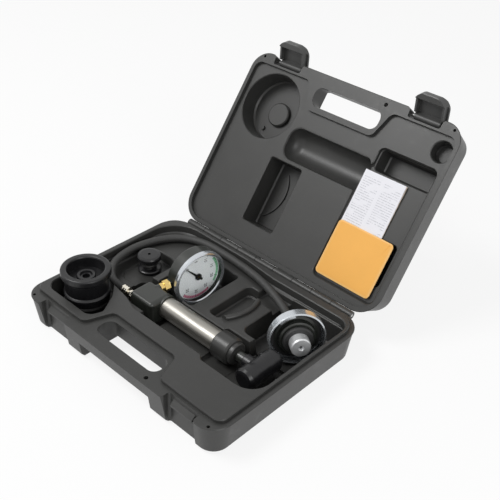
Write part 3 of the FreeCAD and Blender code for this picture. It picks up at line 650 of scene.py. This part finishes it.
class TESTER_OT_gauge(bpy.types.Operator):
    """Finish the gauge and print its dial: ticks, figures and two bands"""

    bl_idname = "tester.gauge"
    bl_label = "Gauge"

    def ticks(self, sizes, ink):
        """Long ticks at the figures and short ones between them, each modelled once."""
        long_places = []
        short_places = []
        count = sizes.steps * TICKS_A_STEP
        for i in range(count + 1):
            turn = Matrix.Rotation(dial_angle(i / count, sizes.sweep), 4, "Z")
            (long_places if i % TICKS_A_STEP == 0 else short_places).append(turn)
        for name, reach, width, places in (
            ("dial_long_ticks", sizes.tick, LONG_TICK, long_places),
            ("dial_short_ticks", sizes.tick * 0.55, SHORT_TICK, short_places),
        ):
            at = (sizes.dial - reach / 2, 0, 0)
            clear_hands()
            bpy.ops.mesh.primitive_cube_add(size=1.0, location=at, scale=(reach, width, INK))
            tick = started(name)
            bpy.ops.object.transform_apply(location=True, scale=True)
            pick(tick, lambda e: abs(e.verts[0].co.z - e.verts[1].co.z) > 0.00002, "EDGE")
            bpy.ops.mesh.bevel(offset=width * 0.25, segments=2)
            bpy.ops.object.mode_set(mode="OBJECT")
            tick = copies(tick, places)
            settle(tick, ink, "tester", dial_place(TICK_LIFT))

    def band(self, name, start, end, sizes, material):
        """A printed band: a narrow face spun round the dial's middle."""
        inner = sizes.dial - sizes.tick * 0.8
        outer = sizes.dial + 0.0002
        at = ((inner + outer) / 2, 0, 0)
        clear_hands()
        bpy.ops.mesh.primitive_plane_add(size=1.0, location=at, rotation=(math.radians(90), 0, 0))
        band = started(name)
        band.scale = (outer - inner, 0.00002, 1.0)
        bpy.ops.object.transform_apply(location=True, rotation=True, scale=True)
        first = dial_angle(end, sizes.sweep)
        sweep = sizes.sweep * (end - start)
        bpy.ops.object.mode_set(mode="EDIT")
        bpy.ops.mesh.select_all(action="SELECT")
        bpy.ops.mesh.spin(steps=48, angle=sweep, center=(0, 0, 0), axis=(0, 0, -1))
        bpy.ops.mesh.select_all(action="SELECT")
        bpy.ops.mesh.remove_doubles(threshold=0.000001)
        bpy.ops.mesh.normals_make_consistent(inside=False)
        bpy.ops.object.mode_set(mode="OBJECT")
        band.data.transform(Matrix.Rotation(first, 4, "Z"))
        settle(band, material, "tester", dial_place(BAND_LIFT))

    def figures(self, sizes, ink):
        """Plain figures inside the long ticks."""
        made = []
        for i in range(sizes.steps + 1):
            at = dial_angle(i / sizes.steps, sizes.sweep)
            reach = sizes.dial - sizes.tick - sizes.figure * 0.80
            clear_hands()
            bpy.ops.object.text_add(location=(reach * math.cos(at), reach * math.sin(at), 0))
            text = bpy.context.object
            text.data.body = str(i * FIGURE_STEP)
            text.data.size = sizes.figure
            text.data.align_x = "CENTER"
            text.data.align_y = "CENTER"
            text.data.extrude = 0.00002
            text.data.offset = 0.00008
            bpy.ops.object.convert(target="MESH")
            bpy.ops.object.transform_apply(location=True, rotation=True, scale=True)
            made.append(bpy.context.object)
        joined(made)
        figures = started("dial_figures")
        settle(figures, ink, "tester", dial_place(FIGURE_LIFT))

    def execute(self, context):
        sizes, colours = context.scene.tester_sizes, context.scene.tester_colours
        dress(metal("chrome", colours.chrome, 0.20, 0.12, bright=0.78), "gauge_bezel", "cap_cup")
        dress(clear_lens("lens"), "gauge_lens")
        dress(enamel("dial_white", colours.dial), "gauge_dial")
        dress(enamel("needle_black", (0.012, 0.012, 0.012)), "gauge_pointer")
        ink = enamel("dial_ink", (0.016, 0.016, 0.018))
        self.ticks(sizes, ink)
        self.figures(sizes, ink)
        self.band("dial_green_band", *LOW_BAND, sizes, enamel("band_green", colours.band_low))
        self.band("dial_red_band", *HIGH_BAND, sizes, enamel("band_red", colours.band_high))
        return {"FINISHED"}


class TESTER_OT_cap(bpy.types.Operator):
    """Finish the turned stub of the cap adapter"""

    bl_idname = "tester.cap"
    bl_label = "Cap adapter"

    def execute(self, context):
        low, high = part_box("cap_stub")
        middle = (low + high) / 2
        dress(turned("stub_aluminium", (0.70, 0.71, 0.72), middle, STUB_AXIS, rough=0.44, metal=0.65),
              "cap_stub")
        return {"FINISHED"}


class TESTER_OT_leaflet(bpy.types.Operator):
    """Lay the folded leaflet in the lid"""

    bl_idname = "tester.leaflet"
    bl_label = "Leaflet"

    def sheet(self, name, low, high, z, lift, material):
        """One folded sheet over a rectangle of the shut lid, its printed face down."""
        sizes = bpy.context.scene.tester_sizes
        size = high - low
        clear_hands()
        bpy.ops.mesh.primitive_grid_add(x_subdivisions=22, y_subdivisions=32, size=1.0, calc_uvs=True)
        sheet = started(name)
        sheet.scale = (size.x, size.y, 1.0)
        bpy.ops.object.transform_apply(scale=True)
        for vertex in sheet.data.vertices:
            u, v = vertex.co.x / size.x + 0.5, vertex.co.y / size.y + 0.5
            wave = 0.00018 * math.sin(5.1 * u + 2.3 * v) + 0.00012 * math.sin(9.7 * v - 3.1 * u)
            vertex.co.z = wave + lift * max(0.0, (1 - v) * 1.25 - 0.55 + 0.35 * u) ** 2
        finish(sheet, ("SOLIDIFY", {"thickness": sizes.paper, "offset": 0.0}))
        bpy.ops.object.shade_smooth_by_angle(angle=math.radians(40))
        middle = (low + high) / 2
        flip = Matrix.Translation((middle.x, middle.y, z)) @ Matrix.Scale(-1, 4, (0, 0, 1))
        place = lid_place() @ flip
        sheet.data.flip_normals()
        return settle(sheet, material, "case_lid", place)

    def execute(self, context):
        paper = printed_paper("leaflet_paper", context.scene.tester_colours.leaflet)
        plain = kraft("leaflet_back", context.scene.tester_colours.leaflet)
        low, high = LEAFLET_LOW, LEAFLET_HIGH
        front = self.sheet("leaflet_front", low, high, 0.0482, 0.0022, paper)
        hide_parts("leaflet")
        inner_low, inner_high = low + Vector((0.0008, 0.0010)), high + Vector((0.0003, 0.0))
        self.sheet("leaflet_inner", inner_low, inner_high, 0.0487, 0.0006, plain)
        self.sheet("leaflet_back", low + Vector((0.0, 0.0004)), high, 0.0492, 0.0, plain)
        return {"FINISHED"}


class TESTER_OT_envelope(bpy.types.Operator):
    """Lay the paper envelope in the lid"""

    bl_idname = "tester.envelope"
    bl_label = "Envelope"

    def execute(self, context):
        colours = context.scene.tester_colours
        paper = kraft("envelope_paper", colours.envelope)
        place = lid_place()
        low, high = ENVELOPE_LOW, ENVELOPE_HIGH
        size, middle = high - low, (low + high) / 2
        clear_hands()
        bpy.ops.mesh.primitive_cube_add(size=1.0, location=middle, scale=size, calc_uvs=True)
        body = started("envelope_body")
        bpy.ops.object.transform_apply(location=True, scale=True)
        pick(body, lambda e: abs(e.verts[0].co.z - e.verts[1].co.z) > 0.001, "EDGE")
        bpy.ops.mesh.bevel(offset=ENVELOPE_CORNER, segments=5)
        pick(body, lambda f: abs(f.normal.z) > 0.9)
        bpy.ops.mesh.inset(thickness=0.0012)
        bpy.ops.mesh.inset(thickness=0.0020)
        for i in range(1, ENVELOPE_CUTS):
            for along in (Vector((1, 0, 0)), Vector((0, 1, 0))):
                at = low + size * (i / ENVELOPE_CUTS)
                bpy.ops.mesh.select_all(action="SELECT")
                bpy.ops.mesh.bisect(plane_co=at, plane_no=along)
        bpy.ops.object.mode_set(mode="OBJECT")
        for vertex in body.data.vertices:
            x, y = (vertex.co.x - middle.x) / (size.x / 2), (vertex.co.y - middle.y) / (size.y / 2)
            edge = 1 - max(abs(x), abs(y)) ** 12
            swell = math.cos(x * 1.45) * math.cos(y * 1.45)
            crown = 0.25 + 0.45 * edge + 0.30 * swell
            vertex.co.z = middle.z + (vertex.co.z - middle.z) * crown
        finish(body, ("BEVEL", {"width": 0.0003, "segments": 2, "limit_method": "ANGLE"}))
        self.unwrap(body, middle, size)
        bpy.ops.object.shade_smooth_by_angle(angle=math.radians(35))
        settle(body, paper, "case_lid", place)
        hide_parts("envelope")
        self.flap(low, high, paper, place)
        return {"FINISHED"}

    def unwrap(self, piece, middle, size):
        """Lay the piece's map flat over its face."""
        layer = piece.data.uv_layers.active or piece.data.uv_layers.new(name="flat")
        for loop in piece.data.loops:
            at = piece.data.vertices[loop.vertex_index].co
            layer.data[loop.index].uv = ((at.x - middle.x) / size.x + 0.5, (at.y - middle.y) / size.y + 0.5)

    def flap(self, low, high, paper, place):
        """Flap folded over the face, narrower towards its tip, with round corners."""
        wide = high.x - low.x - FLAP_MARGIN
        at = ((low.x + high.x) / 2, low.y + FLAP_MIDDLE, low.z + FLAP_SHEET)
        clear_hands()
        bpy.ops.mesh.primitive_plane_add(size=1.0, location=at)
        flap = started("envelope_flap")
        flap.scale = (wide, FLAP_DEEP, 1.0)
        bpy.ops.object.transform_apply(location=True, scale=True)
        pick(flap, lambda e: min(v.co.y for v in e.verts) > low.y + 0.015, "EDGE")
        bpy.ops.transform.resize(value=(0.80, 1, 1))
        bpy.ops.mesh.bevel(offset=0.004, segments=5, affect="VERTICES")
        bpy.ops.object.mode_set(mode="OBJECT")
        finish(flap, ("SOLIDIFY", {"thickness": FLAP_SHEET, "offset": 0.0}))
        self.unwrap(flap, (low + high) / 2, (high - low) * 1.3)
        settle(flap, paper, "case_lid", place)


class TESTER_OT_stage(bpy.types.Operator):
    """Lay the floor and set the lamps"""

    bl_idname = "tester.stage"
    bl_label = "Stage"

    def lamp(self, name, at, power):
        bpy.ops.object.light_add(type="AREA", location=at)
        lamp = bpy.context.object
        lamp.name = name
        lamp.data.shape = "DISK"
        lamp.data.size = LAMP_SIZE
        lamp.data.energy = power
        lamp.rotation_mode = "QUATERNION"
        lamp.rotation_quaternion = (Vector(at) - Vector(LAMP_AIM)).to_track_quat("Z", "Y")

    def floor(self):
        clear_hands()
        at = (0, 0, -FLOOR_DROP)
        bpy.ops.mesh.primitive_grid_add(x_subdivisions=2, y_subdivisions=2, size=FLOOR_SIZE, location=at)
        floor = started("floor")
        paint = Paint("floor_white", rough=1.0, base=(0.90, 0.90, 0.90))
        paint.plain("Specular IOR Level", 0.0)
        glow = paint.node("ShaderNodeEmission", {}, {"Color": (1, 1, 1, 1), "Strength": 1.0})
        paint.blend(paint.seen() * FLOOR_GLOW, glow)
        floor.data.materials.append(paint.material)

    def room(self, scene, sky):
        """Even light from all round, seen as white."""
        scene.world = bpy.data.worlds.new("room")
        room = Nodes(scene.world, "World Output")
        level = room.seen() * (1.0 - sky) + sky
        room.show(room.node("ShaderNodeBackground", {}, {"Color": (1, 1, 1, 1), "Strength": level}))

    def execute(self, context):
        stage = context.scene.tester_stage
        self.floor()
        self.room(context.scene, stage.sky)
        self.lamp("key", (-0.8, -0.8, 1.75), stage.key)
        self.lamp("fill", (1.5, -0.4, 0.9), stage.fill)
        context.scene.view_settings.view_transform = "Standard"
        return {"FINISHED"}


# ---------------------------------------------------------------- panel and registration
STEPS = (TESTER_OT_camera, TESTER_OT_hose, TESTER_OT_case, TESTER_OT_pump, TESTER_OT_gauge, TESTER_OT_cap,
         TESTER_OT_leaflet, TESTER_OT_envelope, TESTER_OT_stage)
SETTINGS = {"tester_colours": TesterColours, "tester_sizes": TesterSizes, "tester_stage": TesterStage}


class TESTER_PT_panel(bpy.types.Panel):
    """Steps and settings of the tester kit"""

    bl_idname = "TESTER_PT_panel"
    bl_label = "Pressure tester"
    bl_space_type = "VIEW_3D"
    bl_region_type = "UI"
    bl_category = "Tester"

    def draw(self, context):
        for step in STEPS:
            self.layout.operator(step.bl_idname)
        for name, group in SETTINGS.items():
            box = self.layout.box()
            for key in group.__annotations__:
                box.prop(getattr(context.scene, name), key)


CLASSES = (*SETTINGS.values(), *STEPS, TESTER_PT_panel)


def register():
    for made in CLASSES:
        bpy.utils.register_class(made)
    for name, group in SETTINGS.items():
        setattr(bpy.types.Scene, name, PointerProperty(type=group))


def unregister():
    for name in SETTINGS:
        delattr(bpy.types.Scene, name)
    for made in reversed(CLASSES):
        bpy.utils.unregister_class(made)


def main():
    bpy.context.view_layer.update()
    register()
    for step in STEPS:
        group, name = step.bl_idname.split(".")
        getattr(getattr(bpy.ops, group), name)()


if __name__ == "__main__":
    main()
